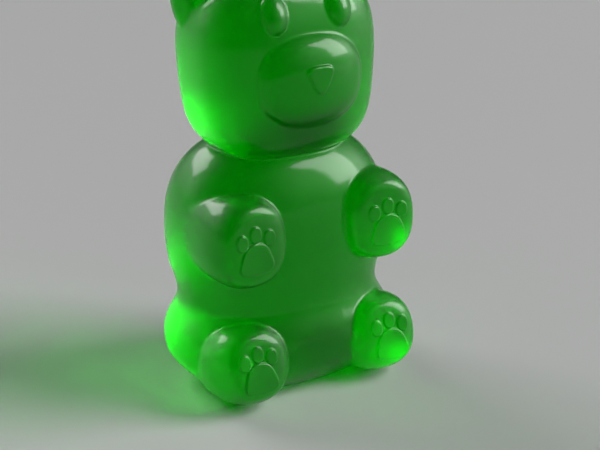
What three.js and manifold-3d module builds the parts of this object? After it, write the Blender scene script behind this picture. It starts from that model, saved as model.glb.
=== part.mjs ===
// A gummy bear: one moulded piece of jelly, sitting up with its arms and legs held out in front.
// Millimetres, +Z up, the face towards -Y. The origin is under the middle of the bear's box,
// on the flat that it sits on. Every form is a rounded lobe that is worked out from its own
// sizes, and the lobes are joined into one solid.
import * as THREE from 'three';
import { mergeVertices } from 'three/addons/utils/BufferGeometryUtils.js';
import Module from 'manifold-3d';

const wasm = await Module();
wasm.setup();

const JELLY = { color: 0x1c7a18, roughness: 0.28, metalness: 0 };

// How far the bear's own axis lies behind the middle of its box.
const AXIS_BEHIND = 0.624;

// The trunk is two lobes, the chest above the hips, that run together at the waist. A lobe's
// "half" is its half width, half depth and half height, and its "power" says how square it is:
// 2 is an ellipsoid, and larger is nearer to a box.
const CHEST = { at: [0, -0.19, 7.96], half: [5.66, 4.06, 5.04], power: 2.5 };
const HIPS = { at: [0, -0.18, 2.3], half: [5.91, 4.42, 2.66], power: 2.5 };
const WAIST_BLEND = 1.77;

// The head is a rounded block, a little narrower at the chin than at the crown.
const HEAD = {
  at: [0, -0.67, 15.96],
  half: [4.64, 3.53, 5.02],
  chinDepth: 4.13,
  power: 2.95,
  chinPower: 3.5,
  widening: 0.08,
};

// The face.
const SNOUT = { at: [0, -3.58, 16.02], half: [2.83, 1.38, 2.32], power: 2.36 };
const NOSE = { up: 16.25, half: [0.58, 0.6, 0.66], power: 3, narrowing: 0.5, relief: 0.12 };
const NOSE_ROUNDING = 0.14;
const EYE = { across: 1.73, up: 19.28, half: [0.68, 0.52, 0.93], power: 2, sunk: 0.12 };

// An ear is a thick disc, turned a little outwards, with a dish sunk in its front.
const EAR = { at: [3.03, 0.13, 19.73], half: [1.92, 1.09, 2.27], power: 2.2, yaw: 0.15, lean: 0.144 };
const EAR_RIM = 0.55;
const DISH = { forward: 1.5, half: 1.05 };

// The limbs are long rounded blocks, cut off flat at their front and, inside the trunk, at
// their back. "power" squares their section and "endPower" their ends, "flare" is how much wider
// they get towards the front, "yaw" turns them towards each other, "rise" lifts their front, and
// "front" and "back" are how far from the middle the cuts are.
const ARM = {
  at: [3.81, -1.39, 8.49],
  half: [1.85, 3.92, 2.11],
  power: 2.38,
  endPower: 3.7,
  flare: 0.16,
  yaw: 0.07,
  rise: 0.04,
  front: 3.58,
  back: 1.8,
  printUp: 0.07,
};
const LEG = {
  at: [3.78, -1.88, 1.73],
  half: [1.79, 3.84, 1.82],
  power: 2.35,
  endPower: 2.16,
  flare: 0.48,
  yaw: 0.043,
  rise: 0.257,
  front: 3.28,
  back: 2.6,
  printUp: 0,
};
const FRONT_ROUNDING = 0.34;

// The print on each paw: three toes in an arc over one large pad, each with a flat top that
// stands a little proud of the paw's front. Places are across and up from the middle of that
// front, and the print as a whole lies a little outwards.
const TOE = { half: [0.31, 1, 0.4], power: 2.2, widening: 0 };
const TOES = [
  { ...TOE, across: -0.75, up: 0.34 },
  { ...TOE, across: 0, up: 0.62 },
  { ...TOE, across: 0.75, up: 0.34 },
];
const PAD = { across: 0, up: -0.59, half: [0.85, 1, 0.77], power: 3, widening: 0.3 };
const PRINT_OUTWARD = 0.13;
const PRINT_RELIEF = 0.09;
const PRINT_ROUNDING = 0.07;

// Facets around each form, and from pole to pole down it. Where a form has a flat front, its
// rings are listed instead, in degrees from the back, so that they lie close along its rim.
const FACETS = {
  trunk: [40, 28],
  head: [40, 26],
  limb: [22, [0, 32, 54, 72, 87, 100, 111, 120, 127, 132, 135.5, 139, 143, 150, 163, 180]],
  snout: [26, 12],
  ear: [18, 12],
  eye: [14, 8],
  nose: [12, [0, 60, 90, 99, 105, 120, 180]],
  print: [10, [0, 60, 90, 94, 97, 110, 180]],
};

// Steps of the search for a surface, and how far it reaches.
const SEARCH_STEPS = 36;
const SEARCH_REACH = 2.2;
const FLOOR_CUT = 30;

// The size of a superellipsoid that passes through a place, where 1 is the lobe itself. The
// section has its own power, and so has the axis w that runs through it.
function gauge(u, v, w, power, axisPower) {
  const section = Math.abs(u) ** power + Math.abs(v) ** power;
  return (section ** (axisPower / power) + Math.abs(w) ** axisPower) ** (1 / axisPower);
}

// The distance from a plain lobe, negative inside it and true to scale near its surface.
function plainLobe({ at, half, power }) {
  return (x, y, z) => {
    const size = gauge((x - at[0]) / half[0], (y - at[1]) / half[1], (z - at[2]) / half[2], power, power);
    return (size - 1) * Math.min(...half);
  };
}

// Two distances run together over a width, instead of meeting in a crease.
function runTogether(first, second, width) {
  const share = THREE.MathUtils.clamp(0.5 + (second - first) / (2 * width), 0, 1);
  return second * (1 - share) + first * share - width * share * (1 - share);
}

// A form cut off by another, with the new edge rounded over a width.
function cutOff(distance, past, width) {
  return -runTogether(-distance, -past, width);
}

// A unit sphere, with its rings either evenly spaced or at the angles that are listed.
function facetedSphere(around, rings) {
  if (!Array.isArray(rings)) return new THREE.SphereGeometry(1, around, rings);
  const sphere = new THREE.SphereGeometry(1, around, rings.length - 1);
  const corners = sphere.attributes.position;
  for (let i = 0; i < corners.count; i += 1) {
    const even = Math.acos(THREE.MathUtils.clamp(corners.getY(i), -1, 1));
    const angle = THREE.MathUtils.degToRad(rings[Math.round((even / Math.PI) * (rings.length - 1))]);
    const spread = Math.sin(even) > 1e-6 ? Math.sin(angle) / Math.sin(even) : 0;
    corners.setXYZ(i, corners.getX(i) * spread, Math.cos(angle), corners.getZ(i) * spread);
  }
  return sphere;
}

// A closed surface round a middle: each corner of a sphere goes out along its own ray, by
// halving, until the form's distance is zero. The poles lie along Z ("up") or Y ("forward").
function surface({ middle, half, poles, facets }, distance) {
  const sphere = facetedSphere(...facets);
  if (poles === 'up') sphere.rotateX(Math.PI / 2);
  sphere.deleteAttribute('normal');
  sphere.deleteAttribute('uv');
  const shape = mergeVertices(sphere);
  const corners = shape.attributes.position;
  const centre = new THREE.Vector3(...middle);
  const ray = new THREE.Vector3();
  const place = new THREE.Vector3();
  for (let i = 0; i < corners.count; i += 1) {
    ray.fromBufferAttribute(corners, i).multiply(new THREE.Vector3(...half));
    let inside = 0;
    let outside = SEARCH_REACH;
    for (let step = 0; step < SEARCH_STEPS; step += 1) {
      const reach = (inside + outside) / 2;
      place.copy(centre).addScaledVector(ray, reach);
      if (distance(place.x, place.y, place.z) < 0) inside = reach;
      else outside = reach;
    }
    corners.setXYZ(i, place.x, place.y, place.z);
  }
  return shape;
}

function solid(shape) {
  const mesh = new wasm.Mesh({
    numProp: 3,
    vertProperties: new Float32Array(shape.attributes.position.array),
    triVerts: new Uint32Array(shape.index.array),
  });
  return new wasm.Manifold(mesh);
}

function join(solids) {
  return solids.reduce((whole, next) => whole.add(next));
}

// The same form on the bear's other side.
function mirrored(shape) {
  const copy = shape.clone();
  copy.scale(-1, 1, 1);
  const corners = copy.index.array;
  for (let i = 0; i < corners.length; i += 3) {
    [corners[i + 1], corners[i + 2]] = [corners[i + 2], corners[i + 1]];
  }
  return copy;
}

function bothSides(shape) {
  return [solid(shape), solid(mirrored(shape))];
}

function trunk() {
  const chest = plainLobe(CHEST);
  const hips = plainLobe(HIPS);
  const low = HIPS.at[2] - HIPS.half[2];
  const high = CHEST.at[2] + CHEST.half[2];
  const form = {
    middle: [0, CHEST.at[1], (low + high) / 2],
    half: [HIPS.half[0], HIPS.half[1], (high - low) / 2],
    poles: 'up',
    facets: FACETS.trunk,
  };
  return solid(surface(form, (x, y, z) => runTogether(chest(x, y, z), hips(x, y, z), WAIST_BLEND)));
}

function headDistance(x, y, z) {
  const [halfWidth, halfDepth, crownHeight] = HEAD.half;
  const up = z - HEAD.at[2];
  const w = up / (up > 0 ? crownHeight : HEAD.chinDepth);
  const width = halfWidth * (1 + HEAD.widening * THREE.MathUtils.clamp(w, -1, 1));
  return gauge(x / width, (y - HEAD.at[1]) / halfDepth, w, HEAD.power, up > 0 ? HEAD.power : HEAD.chinPower) - 1;
}

function head() {
  return solid(surface({ middle: HEAD.at, half: HEAD.half, poles: 'up', facets: FACETS.head }, headDistance));
}

function snout() {
  const form = { middle: SNOUT.at, half: SNOUT.half, poles: 'forward', facets: FACETS.snout };
  return solid(surface(form, plainLobe(SNOUT)));
}

// How far forward a form's front lies at a place across and up it, by halving.
function frontOf(distance, middle, reach, across, up) {
  let inside = middle;
  let outside = middle - reach;
  for (let step = 0; step < SEARCH_STEPS; step += 1) {
    const y = (inside + outside) / 2;
    if (distance(across, y, up) < 0) inside = y;
    else outside = y;
  }
  return inside;
}

// A low form with a flat top that stands out of a front by its relief. Its outline is an oval
// with its own width at the top and at the bottom.
function raised({ at, half, power, widening }, relief, rounding, facets) {
  const [halfWidth, halfDepth, halfHeight] = half;
  const distance = (x, y, z) => {
    const v = (z - at[2]) / halfHeight;
    const width = halfWidth * (1 - widening * THREE.MathUtils.clamp(v, -1, 1));
    const size = gauge((x - at[0]) / width, v, (y - at[1]) / halfDepth, power, 2);
    return cutOff((size - 1) * halfWidth, at[1] - relief - y, rounding);
  };
  return surface({ middle: at, half, poles: 'forward', facets }, distance);
}

// The nose is a rounded triangle, wide at the top and narrow at the bottom.
function nose() {
  const y = frontOf(plainLobe(SNOUT), SNOUT.at[1], SNOUT.half[1], 0, NOSE.up);
  const outline = { ...NOSE, at: [0, y, NOSE.up], widening: -NOSE.narrowing };
  return solid(raised(outline, NOSE.relief, NOSE_ROUNDING, FACETS.nose));
}

// Turns about Z by the yaw, after X by the rise, after Y by the lean, and moves to a place.
function stand({ yaw = 0, rise = 0, lean = 0 }, at) {
  const turn = new THREE.Matrix4().makeRotationFromEuler(new THREE.Euler(rise, lean, yaw, 'ZXY'));
  return turn.setPosition(...at);
}

// An eye is a dome set square on the front of the head, sunk into it a little.
function eyes() {
  const y = frontOf(headDistance, HEAD.at[1], HEAD.half[1], EYE.across, EYE.up);
  const place = [EYE.across, y, EYE.up];
  const slope = place.map((_, axis) => {
    const [before, after] = [-0.05, 0.05].map((step) => {
      const point = [...place];
      point[axis] += step;
      return headDistance(...point);
    });
    return after - before;
  });
  const ahead = new THREE.Vector3(...slope).normalize();
  const middle = new THREE.Vector3(...place).addScaledVector(ahead, -EYE.sunk);
  const facing = { yaw: Math.atan2(ahead.x, -ahead.y), rise: -Math.asin(ahead.z) };
  const dome = { at: [0, 0, 0], half: EYE.half, power: EYE.power };
  const form = { middle: dome.at, half: EYE.half, poles: 'forward', facets: FACETS.eye };
  return bothSides(surface(form, plainLobe(dome)).applyMatrix4(stand(facing, middle.toArray())));
}

function ears() {
  const disc = { at: [0, 0, 0], half: EAR.half, power: EAR.power };
  const dish = {
    at: [0, -DISH.forward, 0],
    half: [EAR.half[0] - EAR_RIM, DISH.half, EAR.half[2] - EAR_RIM],
    power: EAR.power,
  };
  const lobes = [disc, dish].map((form) => {
    const place = { middle: form.at, half: form.half, poles: 'forward', facets: FACETS.ear };
    return surface(place, plainLobe(form)).applyMatrix4(stand(EAR, EAR.at));
  });
  const [discs, dishes] = lobes.map(bothSides);
  return discs.map((ear, side) => ear.subtract(dishes[side]));
}

// A limb in its own frame, with its front towards -Y, and the print on that front.
function limb(form) {
  const [halfWidth, length, halfHeight] = form.half;
  const distance = (x, y, z) => {
    const w = y / length;
    const wide = 1 - form.flare * THREE.MathUtils.clamp(w, -1, 1);
    const size = gauge(x / (halfWidth * wide), z / (halfHeight * wide), w, form.power, form.endPower);
    const ahead = cutOff((size - 1) * halfWidth, -form.front - y, FRONT_ROUNDING);
    return cutOff(ahead, y - form.back, FRONT_ROUNDING);
  };
  const block = surface({ middle: [0, 0, 0], half: form.half, poles: 'forward', facets: FACETS.limb }, distance);
  const prints = [...TOES, PAD].map((print) => {
    const at = [print.across + PRINT_OUTWARD, -form.front, print.up + form.printUp];
    return raised({ ...print, at }, PRINT_RELIEF, PRINT_ROUNDING, FACETS.print);
  });
  const facing = stand({ yaw: -form.yaw, rise: -form.rise }, form.at);
  return [block, ...prints].flatMap((shape) => bothSides(shape.applyMatrix4(facing)));
}

// The bear stands on the plane that is cut across the bottom of its hips and legs.
function floorBlock() {
  const block = new THREE.BoxGeometry(FLOOR_CUT, FLOOR_CUT, FLOOR_CUT);
  block.translate(0, 0, -FLOOR_CUT / 2);
  block.deleteAttribute('normal');
  block.deleteAttribute('uv');
  return solid(mergeVertices(block));
}

function bear() {
  const forms = [trunk(), head(), snout(), nose(), ...eyes(), ...ears(), ...limb(ARM), ...limb(LEG)];
  const whole = join(forms).subtract(floorBlock());
  const { vertProperties, triVerts } = whole.getMesh();
  const shape = new THREE.BufferGeometry();
  shape.setAttribute('position', new THREE.BufferAttribute(vertProperties, 3));
  shape.setIndex(new THREE.BufferAttribute(triVerts, 1));
  shape.translate(0, AXIS_BEHIND, 0);
  shape.computeVertexNormals();
  const mesh = new THREE.Mesh(shape, new THREE.MeshStandardMaterial(JELLY));
  mesh.name = 'gummy_bear';
  return mesh;
}

const group = new THREE.Group();
group.add(bear());

export default group;
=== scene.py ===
"""A green gummy bear, moulded in one piece of clear jelly, on a plain pale floor.

The bear is one surface. Each lobe of it (trunk, head, snout, limbs, toes) is a distance worked
out from a few sizes, in millimetres, and the lobes run into each other through small fillets.
The surface is where that distance is zero. It is found on a grid, then made finer where the
creases and the paw prints need it, and everything is done on whole numpy arrays.
"""
import functools

import bpy
import numpy as np
from mathutils import Matrix, Vector

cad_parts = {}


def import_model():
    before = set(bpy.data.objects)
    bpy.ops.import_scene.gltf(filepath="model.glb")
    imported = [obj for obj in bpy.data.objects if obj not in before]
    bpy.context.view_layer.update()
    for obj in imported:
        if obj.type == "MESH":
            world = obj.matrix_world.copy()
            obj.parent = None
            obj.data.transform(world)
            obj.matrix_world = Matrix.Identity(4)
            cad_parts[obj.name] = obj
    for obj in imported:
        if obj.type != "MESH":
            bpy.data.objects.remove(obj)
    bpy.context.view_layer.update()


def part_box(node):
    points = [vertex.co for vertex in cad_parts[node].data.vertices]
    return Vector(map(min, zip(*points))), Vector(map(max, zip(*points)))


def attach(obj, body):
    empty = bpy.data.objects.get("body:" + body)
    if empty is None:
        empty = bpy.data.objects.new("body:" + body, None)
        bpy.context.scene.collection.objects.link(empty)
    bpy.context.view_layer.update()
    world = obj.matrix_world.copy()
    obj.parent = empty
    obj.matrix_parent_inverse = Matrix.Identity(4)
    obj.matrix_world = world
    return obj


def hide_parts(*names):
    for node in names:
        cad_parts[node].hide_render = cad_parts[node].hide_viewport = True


MM = 0.001

# ---------------------------------------------------------------------------------------------
# Sizes of the bear, in millimetres, with its face towards -Y and its seat at Z = 0. A lobe's
# "half" is its half width, half depth and half height. Its "power" says how square it is, and
# its "end_power" how square its ends are. Its "yaw", "rise" and "lean" turn it, in radians. The
# head widens towards its top and the pad of a print towards its foot, where the nose narrows. A
# limb flares towards its front. It is cut off flat this far in "front" and in "back" of its middle.
# ---------------------------------------------------------------------------------------------
HEIGHT = 22.0
# How far the bear's own axis lies behind the middle of its box.
AXIS_BEHIND = 0.624
SIDES = (-1, 1)

CHEST = dict(at=(0, -0.19, 7.96), half=(5.66, 4.06, 5.04), power=2.5)
HIPS = dict(at=(0, -0.18, 2.3), half=(5.91, 4.42, 2.66), power=2.5)
WAIST_BLEND = 1.77

HEAD = dict(at=(0, -0.67, 15.96), half=(4.64, 3.53, 5.02), chin_depth=4.13, power=2.95,
            chin_power=3.5, widening=0.08)
SNOUT = dict(at=(0, -3.58, 16.02), half=(2.83, 1.38, 2.32), power=2.36)
NOSE = dict(up=16.25, half=(0.58, 0.6, 0.66), power=3.0, narrowing=0.5, relief=0.12)
EYE = dict(across=1.73, up=19.28, half=(0.68, 0.52, 0.93), power=2.0, sunk=0.12)

EAR = dict(at=(3.03, 0.13, 19.73), half=(1.92, 1.09, 2.27), power=2.2, yaw=0.15, lean=0.144)
EAR_RIM = 0.55
DISH = dict(forward=1.5, half=1.05)

ARM = dict(at=(3.81, -1.39, 8.49), half=(1.85, 3.92, 2.11), power=2.38, end_power=3.7, flare=0.16,
           yaw=0.07, rise=0.04, front=3.58, back=1.8, print_up=0.07)
LEG = dict(at=(3.78, -1.88, 1.73), half=(1.79, 3.84, 1.82), power=2.35, end_power=2.16, flare=0.48,
           yaw=0.043, rise=0.257, front=3.28, back=2.6, print_up=0.0)

# A paw print: how far it is moved outwards, its toes' places across and up, and its pad.
PRINT_OUTWARD = 0.13
TOES = ((-0.75, 0.34), (0.0, 0.62), (0.75, 0.34))
TOE_HALF = (0.31, 0.4)
PAD = dict(up=-0.59, half=(0.85, 0.77), widening=0.3)
TOE_POWER = 2.2
PAD_POWER = 3.0
PRINT_DEPTH = 1.0
PRINT_END_POWER = 2.0
PRINT_RELIEF = 0.09

# How wide the fillet is where two lobes meet.
NECK_FILLET = 0.14
SNOUT_FILLET = 0.12
EYE_FILLET = 0.08
EAR_FILLET = 0.15
LIMB_FILLET = 0.14
PRINT_FILLET = 0.06

# How wide the rounding is along an edge.
DISH_ROUNDING = 0.2
FRONT_ROUNDING = 0.34
NOSE_ROUNDING = 0.14
PRINT_ROUNDING = 0.07
SEAT_ROUNDING = 0.25

# The wanted length of the mesh's edges: on open surface, in a crease and round a paw print, and
# how fast it grows with the distance from them.
OPEN_EDGE = 0.2
CREASE_EDGE = 0.07
PRINT_EDGE = 0.04
EDGE_GROWTH = 0.35

# The grid that the surface is first found on.
GRID_LOW = (-6.6, -6.2, -0.6)
GRID_HIGH = (6.6, 5.2, HEIGHT + 0.6)
GRID_STEP = 0.16
ROUGH_FILLET = 2 * GRID_STEP

# An edge is halved where it is TOO_LONG times the wanted length, in up to HALVINGS rounds, until
# one of them adds hardly any points. Then each point is evened out and settled on the surface.
TOO_LONG = 1.45
HALVINGS = 4
HARDLY_MORE = 1.02
EVENING = 0.5
SETTLINGS = 2
SLOPE_STEP = 0.004
FRONT_SAMPLES = 2001
EYE_SLOPE_STEP = 0.05


# ---------------------------------------------------------------------------------------------
# The form
# ---------------------------------------------------------------------------------------------
class Shape:
    """The distance from the bear's surface at some points, and the edge length wanted there.

    Lobes are added one at a time. Only the points near a lobe are worked out for it.
    """

    def __init__(self, points):
        self.points = points
        self.distance = None
        self.edge = np.full(len(points), OPEN_EDGE)

    def start(self, distance):
        self.distance = distance

    def add(self, lobe, fillet, edge=CREASE_EDGE, cut=False):
        """Joins a lobe to the shape, or cuts it out, through a fillet of the given width."""
        near = lobe.near(self.points, 2 * fillet + OPEN_EDGE / EDGE_GROWTH)
        if not near.any():
            return
        other, rim = lobe.measure(self.points[near])
        own = self.distance[near]
        sign = -1 if cut else 1
        self.distance[near] = sign * run_together(sign * own, other, fillet)
        beyond = np.abs(sign * own - other) - fillet
        beyond = np.maximum(np.minimum(beyond, np.maximum(rim, other)), 0)
        self.edge[near] = np.minimum(self.edge[near], edge + EDGE_GROWTH * beyond)


def run_together(first, second, width):
    """Two distances joined by a smooth minimum, which rounds their crease over a width."""
    share = np.clip(0.5 + (second - first) / (2 * width), 0, 1)
    return second * (1 - share) + first * share - width * share * (1 - share)


def turn_matrix(yaw=0.0, rise=0.0, lean=0.0):
    """Turns about Z by yaw, after X by rise, after Y by lean, in radians."""
    return np.array(Matrix.Rotation(yaw, 3, "Z") @ Matrix.Rotation(rise, 3, "X")
                    @ Matrix.Rotation(lean, 3, "Y"))


class Lobe:
    """A superellipsoid. Its size at a place is ((|u|^p + |v|^p)^(q/p) + |w|^q)^(1/q), where u, v
    and w are the place over the half sizes, p squares the section and q the ends of the axis w.
    The distance is that size less 1, over the size's slope there, so it is true near the surface.

    A flare makes it wider towards one end of the flare axis. Along the height it is wider only
    across, and along the depth it is wider and taller. The upper half may have its own height
    and power.
    """

    def __init__(self, at, half, power, end_power=None, end_axis=1, turn=None, flare=0.0,
                 flare_axis=1, upper_half=None, upper_power=None):
        self.at = np.array(at, float)
        self.half = np.array(half, float)
        self.power = power
        self.end_power = end_power or power
        self.end_axis = end_axis
        self.turn = np.eye(3) if turn is None else turn
        self.flare = flare
        self.flare_axis = flare_axis
        self.upper_half = upper_half
        self.upper_power = upper_power

    def local(self, points):
        return (points - self.at) @ self.turn

    def near(self, points, margin):
        reach = self.half * (1 + abs(self.flare)) + margin
        if self.upper_half:
            reach[2] = max(reach[2], self.upper_half + margin)
        return (np.abs(self.local(points)) < reach).all(axis=1)

    def measure(self, points):
        """The distance at some points, and how far each is from an edge of the lobe."""
        place = self.local(points)
        half = np.broadcast_to(self.half, place.shape).copy()
        q = np.full(len(place), float(self.end_power))
        if self.upper_half:
            upper = place[:, 2] > 0
            half[upper, 2] = self.upper_half
            q[upper] = self.upper_power
        along = np.clip(place[:, self.flare_axis] / half[:, self.flare_axis], -1, 1)
        wide = 1 + self.flare * along
        for axis in range(3):
            if axis != self.flare_axis and not (self.flare_axis == 2 and axis == 1):
                half[:, axis] *= wide
        scaled = np.abs(place) / half
        w = scaled[:, self.end_axis]
        across = [axis for axis in range(3) if axis != self.end_axis]
        u, v = scaled[:, across[0]], scaled[:, across[1]]
        p = self.power
        section = np.maximum(u ** p + v ** p, 1e-12)
        size = np.maximum((section ** (q / p) + w ** q) ** (1 / q), 1e-6)
        slope = np.zeros_like(place)
        lead = size ** (1 - q)
        side = lead * section ** (q / p - 1)
        slope[:, across[0]] = side * u ** (p - 1)
        slope[:, across[1]] = side * v ** (p - 1)
        slope[:, self.end_axis] = lead * w ** (q - 1)
        steep = np.linalg.norm(slope / half, axis=1)
        return (size - 1) / np.maximum(steep, 1e-6), np.full(len(place), np.inf)


class Beyond:
    """Everything past a plane."""

    def __init__(self, at, way):
        self.at = np.array(at, float)
        self.way = np.array(way, float)

    def near(self, points, margin):
        return self.measure(points)[0] < margin

    def measure(self, points):
        return (self.at - points) @ self.way, np.full(len(points), np.inf)


class Trimmed:
    """A lobe with another form cut away from it, and the new edge rounded."""

    def __init__(self, lobe, cutter, rounding):
        self.lobe = lobe
        self.cutter = cutter
        self.rounding = rounding

    def near(self, points, margin):
        return self.lobe.near(points, margin)

    def measure(self, points):
        own = self.lobe.measure(points)[0]
        other = self.cutter.measure(points)[0]
        return -run_together(-own, other, self.rounding), np.abs(own + other) - self.rounding


def sided(form, side):
    """The middle of a form, on the left or the right of the bear."""
    x, y, z = form["at"]
    return (side * x, y, z)


def limb_forms(form, side):
    """A limb, cut off flat at its front and inside the trunk, and the raised parts of its print."""
    turn = turn_matrix(yaw=-side * form["yaw"], rise=-form["rise"])
    at = np.array(sided(form, side), float)
    ahead = turn @ np.array((0, -1, 0))
    block = Lobe(at, form["half"], form["power"], form["end_power"], turn=turn,
                 flare=-form["flare"])
    limb = Trimmed(block, Beyond(at + form["front"] * ahead, ahead), FRONT_ROUNDING)
    limb = Trimmed(limb, Beyond(at - form["back"] * ahead, -ahead), FRONT_ROUNDING)
    prints = []
    for across, up, half, power, widening in print_places():
        offset = (across + side * PRINT_OUTWARD, -form["front"], up + form["print_up"])
        oval = Lobe(at + turn @ np.array(offset), (half[0], PRINT_DEPTH, half[1]), power,
                    PRINT_END_POWER, turn=turn, flare=-widening, flare_axis=2)
        prints.append(raised(oval, PRINT_RELIEF, PRINT_ROUNDING))
    return limb, prints


def print_places():
    """Each toe and the pad: its place across and up, half sizes, power and downward widening."""
    toes = [(across, up, TOE_HALF, TOE_POWER, 0.0) for across, up in TOES]
    return toes + [(0.0, PAD["up"], PAD["half"], PAD_POWER, PAD["widening"])]


def raised(outline, relief, rounding):
    """A low form with a flat top, which stands out of the surface by its relief."""
    ahead = outline.turn @ np.array((0, -1, 0))
    return Trimmed(outline, Beyond(outline.at + relief * ahead, ahead), rounding)


def front_of(lobe, across, up):
    """The point of a lobe's front that has this place across and up."""
    line = np.linspace(-1, 0, FRONT_SAMPLES) * lobe.half[1]
    points = np.stack([np.full_like(line, across), lobe.at[1] + line, np.full_like(line, up)], 1)
    inside = lobe.measure(points)[0] < 0
    return points[inside.argmax()]


def trunk_distance(points):
    """The chest run into the hips over a wide fillet, which is the waist."""
    chest = Lobe(**CHEST).measure(points)[0]
    hips = Lobe(**HIPS).measure(points)[0]
    return run_together(chest, hips, WAIST_BLEND)


def head_lobe():
    """The head is as high above its middle as its half says, and less deep below it."""
    half = (HEAD["half"][0], HEAD["half"][1], HEAD["chin_depth"])
    return Lobe(HEAD["at"], half, HEAD["power"], HEAD["chin_power"], end_axis=2,
                flare=HEAD["widening"], flare_axis=2, upper_half=HEAD["half"][2],
                upper_power=HEAD["power"])


def nose_form(snout):
    """A low three-cornered form on the front of the snout, narrower towards its foot."""
    front = front_of(snout, 0, NOSE["up"])
    outline = Lobe(front, NOSE["half"], NOSE["power"], PRINT_END_POWER, flare=NOSE["narrowing"],
                   flare_axis=2)
    return raised(outline, NOSE["relief"], NOSE_ROUNDING)


def eye_lobe(head, side):
    """A dome set square on the front of the head, sunk into it a little."""
    front = front_of(head, side * EYE["across"], EYE["up"])
    step = EYE_SLOPE_STEP * np.eye(3)
    slope = head.measure(front + step)[0] - head.measure(front - step)[0]
    ahead = slope / np.linalg.norm(slope)
    turn = turn_matrix(yaw=np.arctan2(ahead[0], -ahead[1]), rise=-np.arcsin(ahead[2]))
    return Lobe(front - EYE["sunk"] * ahead, EYE["half"], EYE["power"], turn=turn)


def ear_form(side):
    """A thick disc with a dish sunk in its front."""
    turn = turn_matrix(yaw=side * EAR["yaw"], lean=side * EAR["lean"])
    at = np.array(sided(EAR, side), float)
    disc = Lobe(at, EAR["half"], EAR["power"], turn=turn)
    dish_half = (EAR["half"][0] - EAR_RIM, DISH["half"], EAR["half"][2] - EAR_RIM)
    dish = Lobe(at + turn @ np.array((0, -DISH["forward"], 0)), dish_half, EAR["power"], turn=turn)
    return Trimmed(disc, dish, DISH_ROUNDING)


@functools.cache
def bear_forms():
    """Every form that joins the trunk, with its fillet and the edge length wanted at it."""
    head = head_lobe()
    snout = Lobe(**SNOUT)
    forms = [(head, NECK_FILLET, CREASE_EDGE), (snout, SNOUT_FILLET, CREASE_EDGE),
             (nose_form(snout), PRINT_FILLET, PRINT_EDGE)]
    for side in SIDES:
        forms.append((ear_form(side), EAR_FILLET, CREASE_EDGE))
        forms.append((eye_lobe(head, side), EYE_FILLET, CREASE_EDGE))
        for form in (ARM, LEG):
            limb, prints = limb_forms(form, side)
            forms.append((limb, LIMB_FILLET, CREASE_EDGE))
            forms += [(lobe, PRINT_FILLET, PRINT_EDGE) for lobe in prints]
    return forms


def bear_shape(points, rough=False):
    """The whole bear or, when it is rough, the bear with wide fillets and without its prints."""
    shape = Shape(points)
    shape.start(trunk_distance(points))
    for form, fillet, edge in bear_forms():
        if not rough:
            shape.add(form, fillet, edge)
        elif edge == CREASE_EDGE:
            shape.add(form, ROUGH_FILLET)
    shape.add(Beyond((0, 0, 0), (0, 0, -1)), SEAT_ROUNDING, cut=True)
    return shape


def distance_at(points):
    return bear_shape(points).distance


# ---------------------------------------------------------------------------------------------
# The mesh
# ---------------------------------------------------------------------------------------------
def grid_distance(step):
    """The rough bear's distance on a grid that holds it, and the grid's lowest corner."""
    low, high = np.array(GRID_LOW), np.array(GRID_HIGH)
    counts = np.ceil((high - low) / step).astype(int) + 1
    axes = [low[k] + step * np.arange(counts[k]) for k in range(3)]
    points = np.stack(np.meshgrid(*axes, indexing="ij"), axis=-1).reshape(-1, 3)
    return bear_shape(points, rough=True).distance.reshape(counts), low


def zero_surface(field, low, step):
    """A mesh of the field's zero surface. Each cell that the surface crosses gets one corner, at
    the mean of its edges' crossings, and each grid edge that it crosses joins four cells."""
    inside = field < 0
    shape = np.array(field.shape) - 1
    total = np.zeros(tuple(shape) + (3,))
    count = np.zeros(tuple(shape))
    for axis in range(3):
        b, c = [k for k in range(3) if k != axis]
        first = np.take(field, range(field.shape[axis] - 1), axis)
        second = np.take(field, range(1, field.shape[axis]), axis)
        crossed = (first < 0) != (second < 0)
        share = np.where(crossed, first / np.where(crossed, first - second, 1), 0)
        for db in (0, 1):
            for dc in (0, 1):
                cut = [slice(None)] * 3
                cut[b] = slice(db, db + shape[b])
                cut[c] = slice(dc, dc + shape[c])
                hit = crossed[tuple(cut)]
                place = np.zeros(hit.shape + (3,))
                place[..., axis] = share[tuple(cut)]
                place[..., b] = db
                place[..., c] = dc
                total += place * hit[..., None]
                count += hit
    active = count > 0
    index = np.full(tuple(shape), -1)
    index[active] = np.arange(active.sum())
    cells = np.argwhere(active)
    points = low + step * (cells + total[active] / count[active][:, None])
    faces = []
    for axis in range(3):
        b, c = (axis + 1) % 3, (axis + 2) % 3
        first = np.take(inside, range(inside.shape[axis] - 1), axis)
        second = np.take(inside, range(1, inside.shape[axis]), axis)
        edges = np.argwhere(first != second)
        edges = edges[(edges[:, b] > 0) & (edges[:, c] > 0)]
        edges = edges[(edges[:, b] < shape[b]) & (edges[:, c] < shape[c])]
        corners = []
        for db, dc in ((1, 1), (0, 1), (0, 0), (1, 0)):
            cell = edges.copy()
            cell[:, b] -= db
            cell[:, c] -= dc
            corners.append(index[tuple(cell.T)])
        quads = np.stack(corners, axis=1)
        outward = inside[tuple(edges.T)]
        quads[~outward] = quads[~outward][:, ::-1]
        faces.append(quads)
    quads = np.concatenate(faces)
    return points, split_quads(points, quads)


def split_quads(points, quads):
    """Each quad as two triangles, cut along its shorter diagonal."""
    a, b, c, d = (points[quads[:, k]] for k in range(4))
    first = np.linalg.norm(a - c, axis=1) <= np.linalg.norm(b - d, axis=1)
    one = np.where(first[:, None], quads[:, [0, 1, 2]], quads[:, [0, 1, 3]])
    two = np.where(first[:, None], quads[:, [0, 2, 3]], quads[:, [1, 2, 3]])
    return np.concatenate([one, two])


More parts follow.
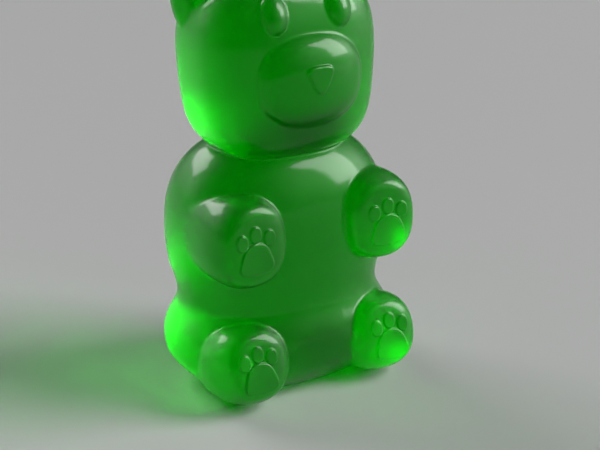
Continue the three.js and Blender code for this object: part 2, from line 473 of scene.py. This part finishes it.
def halve_long_edges(points, faces, wanted):
    """Splits every edge that is longer than is wanted at its middle, and the faces with it."""
    ends = np.stack([faces, np.roll(faces, -1, axis=1)], axis=2).reshape(-1, 2)
    ends.sort(axis=1)
    pairs, place = np.unique(ends, axis=0, return_inverse=True)
    place = place.reshape(-1)
    length = np.linalg.norm(points[pairs[:, 0]] - points[pairs[:, 1]], axis=1)
    limit = wanted[pairs].mean(axis=1)
    long = length > TOO_LONG * limit
    middle = np.full(len(pairs), -1)
    middle[long] = len(points) + np.arange(long.sum())
    new_points = np.concatenate([points, points[pairs[long]].mean(axis=1)])
    mids = middle[place].reshape(-1, 3)
    split = (mids >= 0).sum(axis=1)
    pieces = [faces[split == 0]]
    for turn in range(3):
        corners = np.roll(faces, -turn, axis=1)
        halves = np.roll(mids, -turn, axis=1)
        one = (split == 1) & (halves[:, 0] >= 0)
        a, b, c = corners[one].T
        m = halves[one, 0]
        pieces += [np.stack([a, m, c], 1), np.stack([m, b, c], 1)]
        two = (split == 2) & (halves[:, 2] < 0)
        a, b, c = corners[two].T
        m, n = halves[two, 0], halves[two, 1]
        pieces += [np.stack([m, b, n], 1), split_quads(new_points, np.stack([a, m, n, c], 1))]
    every = split == 3
    a, b, c = faces[every].T
    m, n, o = mids[every].T
    pieces += [np.stack(piece, 1) for piece in ((a, m, o), (m, b, n), (o, n, c), (m, n, o))]
    return new_points, np.concatenate(pieces)


def even_out(points, faces, share):
    """Moves each corner part of the way to the mean of its neighbours, along the surface."""
    ends = np.concatenate([faces[:, [0, 1]], faces[:, [1, 2]], faces[:, [2, 0]]])
    number = np.bincount(ends[:, 0], minlength=len(points))
    sums = [np.bincount(ends[:, 0], points[ends[:, 1], k], len(points)) for k in range(3)]
    shift = np.stack(sums, 1) / number[:, None] - points
    normal = slope_at(points)
    shift -= (shift * normal).sum(axis=1, keepdims=True) * normal
    return points + share * shift


def slope_at(points):
    """The direction away from the surface, from the distances at four places round each point."""
    corners = np.array(((1, -1, -1), (-1, 1, -1), (-1, -1, 1), (1, 1, 1)))
    slope = sum(distance_at(points + SLOPE_STEP * corner)[:, None] * corner for corner in corners)
    return slope / np.maximum(np.linalg.norm(slope, axis=1, keepdims=True), 1e-9)


def settle(points):
    """Moves each corner along the slope until it lies on the surface."""
    for _ in range(SETTLINGS):
        points = points - distance_at(points)[:, None] * slope_at(points)
    return points


def bear_mesh():
    """The rough bear's surface from the grid, settled on the true form and then made finer."""
    field, low = grid_distance(GRID_STEP)
    points, faces = zero_surface(field, low, GRID_STEP)
    points = settle(even_out(points, faces, EVENING))
    for _ in range(HALVINGS):
        before = len(points)
        points, faces = halve_long_edges(points, faces, bear_shape(points).edge)
        points = settle(even_out(points, faces, EVENING))
        if len(points) < HARDLY_MORE * before:
            break
    points = settle(even_out(points, faces, EVENING))
    return points, faces


def make_piece(name, points, faces):
    """A smooth-shaded object at the origin, with its place in its mesh."""
    mesh = bpy.data.meshes.new(name)
    mesh.from_pydata(points.tolist(), [], faces.tolist())
    mesh.update()
    mesh.polygons.foreach_set("use_smooth", np.ones(len(faces), bool))
    piece = bpy.data.objects.new(name, mesh)
    bpy.context.scene.collection.objects.link(piece)
    return piece


# ---------------------------------------------------------------------------------------------
# Materials
# ---------------------------------------------------------------------------------------------
# The jelly is frosted inside its skin, which blurs what is seen through it, and the skin itself
# is smoother. It takes up red and blue at once, and green slowly, at so much a metre.
JELLY_TINTS = ((0.004, 0.58, 0.004, 1), (0.006, 0.66, 0.006, 1))
TINT_SPREAD = (0.3, 0.7)
JELLY_FROST = 0.4
GRAIN_FROST = 0.05
WAVE_FROST = 0.03
JELLY_SKIN = 0.12
JELLY_POLISH = 0.45
SKIN_IOR = 1.5
JELLY_GLEAM = (0.02, 0.2, 0.02, 1)
JELLY_IOR = 1.4
JELLY_CLEAR = 1.0
JELLY_PASSES = (0.0, 0.93, 0.0, 1.0)
JELLY_DENSITY = 800.0

# Patterns in the skin, in repeats to the metre, and the height of its grain.
GRAIN = {"Scale": 900.0, "Detail": 3.0, "Roughness": 0.55}
WAVES = {"Scale": 160.0, "Detail": 2.0}
GRAIN_HEIGHT = {"Strength": 0.05, "Distance": 0.0001}

FLOOR_GREY = (0.56, 0.56, 0.56, 1)
FLOOR_ROUGHNESS = 0.6


class Wire:
    """A shader socket that sums and products can be written with."""

    def __init__(self, nodes, socket):
        self.nodes = nodes
        self.socket = socket

    def _math(self, operation, other):
        return self.nodes.add("Math", {"operation": operation}, {0: self, 1: other})

    def __add__(self, other):
        return self._math("ADD", other)

    def __mul__(self, other):
        return self._math("MULTIPLY", other)

    __radd__ = __add__
    __rmul__ = __mul__


class Nodes:
    """The nodes of one material."""

    def __init__(self, name):
        self.material = bpy.data.materials.new(name)
        self.material.use_nodes = True
        self.tree = self.material.node_tree
        self.tree.nodes.clear()

    def add(self, kind, settings=None, inputs=None, output=0):
        """A node of a type, with its settings made first and then its sockets' values or links."""
        node = self.tree.nodes.new("ShaderNode" + kind)
        for name, value in (settings or {}).items():
            if name == "stops":
                self._stops(node, value)
            else:
                setattr(node, name, value)
        for name, value in (inputs or {}).items():
            if isinstance(value, Wire):
                self.tree.links.new(value.socket, node.inputs[name])
            else:
                node.inputs[name].default_value = value
        return Wire(self, node.outputs[output]) if node.outputs else None

    @staticmethod
    def _stops(node, stops):
        ramp = node.color_ramp
        while len(ramp.elements) < len(stops):
            ramp.elements.new(0.5)
        for element, (position, colour) in zip(ramp.elements, stops):
            element.position = position
            element.color = colour


def jelly():
    """Green jelly: a thin glossy skin over a clear but frosted inside. Light that goes through is
    taken up in the thick parts, and the skin has the faint grain and waves of its mould."""
    nodes = Nodes("green_jelly")
    place = nodes.add("TexCoord", output=3)
    grain = nodes.add("TexNoise", {}, {"Vector": place, **GRAIN})
    waves = nodes.add("TexNoise", {}, {"Vector": place, **WAVES})
    tint = nodes.add("ValToRGB", {"stops": tuple(zip(TINT_SPREAD, JELLY_TINTS))}, {"Fac": waves})
    frost = JELLY_FROST + grain * GRAIN_FROST + waves * WAVE_FROST
    bump = nodes.add("Bump", {}, {"Height": grain, **GRAIN_HEIGHT})
    surface = nodes.add("BsdfPrincipled", {}, {
        "Base Color": tint, "Roughness": frost, "Normal": bump,
        "IOR": JELLY_IOR, "Transmission Weight": JELLY_CLEAR, "Specular Tint": JELLY_GLEAM,
        "Coat Weight": JELLY_POLISH, "Coat Roughness": JELLY_SKIN, "Coat IOR": SKIN_IOR,
    })
    inside = nodes.add("VolumeAbsorption", {}, {"Color": JELLY_PASSES, "Density": JELLY_DENSITY})
    nodes.add("OutputMaterial", {}, {"Surface": surface, "Volume": inside})
    return nodes.material


def floor_paint():
    """Matt pale grey paint, the same all over."""
    nodes = Nodes("floor_paint")
    surface = nodes.add("BsdfPrincipled", {}, {
        "Base Color": FLOOR_GREY, "Roughness": FLOOR_ROUGHNESS,
    })
    nodes.add("OutputMaterial", {}, {"Surface": surface})
    return nodes.material


# ---------------------------------------------------------------------------------------------
# The stage
# ---------------------------------------------------------------------------------------------
# The camera: its lens and sensor, its turn, downward look and roll, and how far it stands from
# the place it looks at, in the bear's millimetres.
CAMERA_LENS = 90.36
CAMERA_SENSOR = 36.0
CAMERA_TURN = np.radians(29.8)
CAMERA_DOWN = np.radians(20.42)
CAMERA_ROLL = np.radians(1.24)
CAMERA_DISTANCE = 79.04
CAMERA_AIM = (2.256, 1.235, 6.7)
CAMERA_NEAREST = 0.002

# Light panels, a metre away: each one's turn and rise, width and height in degrees, brightness,
# and whether it is mirrored in the skin.
LIGHT_DISTANCE = 1.0
PANELS = (
    ("right_panel", 87, 31, 30, 38, 9.5, True),
    ("left_panel", -132, 33, 30, 19, 6.5, True),
    ("right_glow", 90, 22, 58, 28, 18.0, False),
    ("back_glow", 120, 44, 60, 24, 3.0, False),
    ("left_glow", -117, 17, 38, 20, 6.0, False),
    ("front_glow", -50, 12, 50, 20, 4.0, False),
)
ROOM_COLOUR = (0.8, 0.82, 0.85, 1)
ROOM_LIGHT = 0.03
FLOOR_SIZE = 4.0
FLOOR_GAP = 0.03


def view_turn():
    """The level directions to the camera's right and away from it."""
    return (np.array((np.cos(CAMERA_TURN), -np.sin(CAMERA_TURN), 0.0)),
            np.array((np.sin(CAMERA_TURN), np.cos(CAMERA_TURN), 0.0)))


def camera_frame():
    """The camera's right, up and back directions."""
    level, away = view_turn()
    forward = np.cos(CAMERA_DOWN) * away - np.sin(CAMERA_DOWN) * np.array((0, 0, 1))
    upright = np.cross(level, forward)
    right = np.cos(CAMERA_ROLL) * level - np.sin(CAMERA_ROLL) * upright
    up = np.sin(CAMERA_ROLL) * level + np.cos(CAMERA_ROLL) * upright
    return right, up, -forward


def add_camera():
    data = bpy.data.cameras.new("camera")
    data.lens = CAMERA_LENS
    data.sensor_width = CAMERA_SENSOR
    data.clip_start = CAMERA_NEAREST
    camera = bpy.data.objects.new("camera", data)
    bpy.context.scene.collection.objects.link(camera)
    right, up, back = camera_frame()
    place = (np.array(CAMERA_AIM) + (0, AXIS_BEHIND, 0) + CAMERA_DISTANCE * back) * MM
    matrix = Matrix([[right[k], up[k], back[k], place[k]] for k in range(3)] + [[0, 0, 0, 1]])
    camera.matrix_world = matrix
    bpy.context.scene.camera = camera


def add_panel(name, turn, rise, width, height, bright, mirrored):
    """A soft light panel that looks at the bear from a turn to the camera's right and a rise.
    One that isn't mirrored only lights the jelly through, and isn't seen in its skin."""
    data = bpy.data.lights.new(name, "AREA")
    data.shape = "RECTANGLE"
    data.size, data.size_y = (2 * LIGHT_DISTANCE * np.tan(np.radians(span / 2))
                              for span in (width, height))
    data.energy = bright * np.pi * data.size * data.size_y
    panel = bpy.data.objects.new(name, data)
    bpy.context.scene.collection.objects.link(panel)
    angle = np.radians(turn)
    level, away = view_turn()
    flat = np.sin(angle) * level - np.cos(angle) * away
    way = np.cos(np.radians(rise)) * flat + np.array((0, 0, np.sin(np.radians(rise))))
    middle = Vector((0, 0, HEIGHT / 2 * MM))
    panel.location = middle + LIGHT_DISTANCE * Vector(way)
    panel.rotation_euler = Vector(way).to_track_quat("Z", "Y").to_euler()
    panel.visible_glossy = panel.visible_diffuse = mirrored


def add_stage():
    """The floor just below the bear, the faint light of the room, and the panels."""
    bpy.ops.mesh.primitive_plane_add(size=FLOOR_SIZE, location=(0, 0, -FLOOR_GAP * MM))
    floor = bpy.context.object
    floor.name = "floor"
    floor.data.materials.append(floor_paint())
    world = bpy.data.worlds.new("room")
    bpy.context.scene.world = world
    world.use_nodes = True
    background = world.node_tree.nodes["Background"]
    background.inputs["Color"].default_value = ROOM_COLOUR
    background.inputs["Strength"].default_value = ROOM_LIGHT
    bpy.context.scene.view_settings.view_transform = "Standard"
    for panel in PANELS:
        add_panel(*panel)


def main():
    """Makes the bear to the size of the frame's solid, and the stage round it."""
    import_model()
    add_camera()
    low, high = (np.array(corner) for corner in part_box("gummy_bear"))
    scale = (high[2] - low[2]) / HEIGHT
    points, faces = bear_mesh()
    points = (points + np.array((0, AXIS_BEHIND, 0))) * scale
    bear = make_piece("jelly_bear", points, faces)
    bear.data.materials.append(jelly())
    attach(bear, "root")
    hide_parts("gummy_bear")
    add_stage()


main()
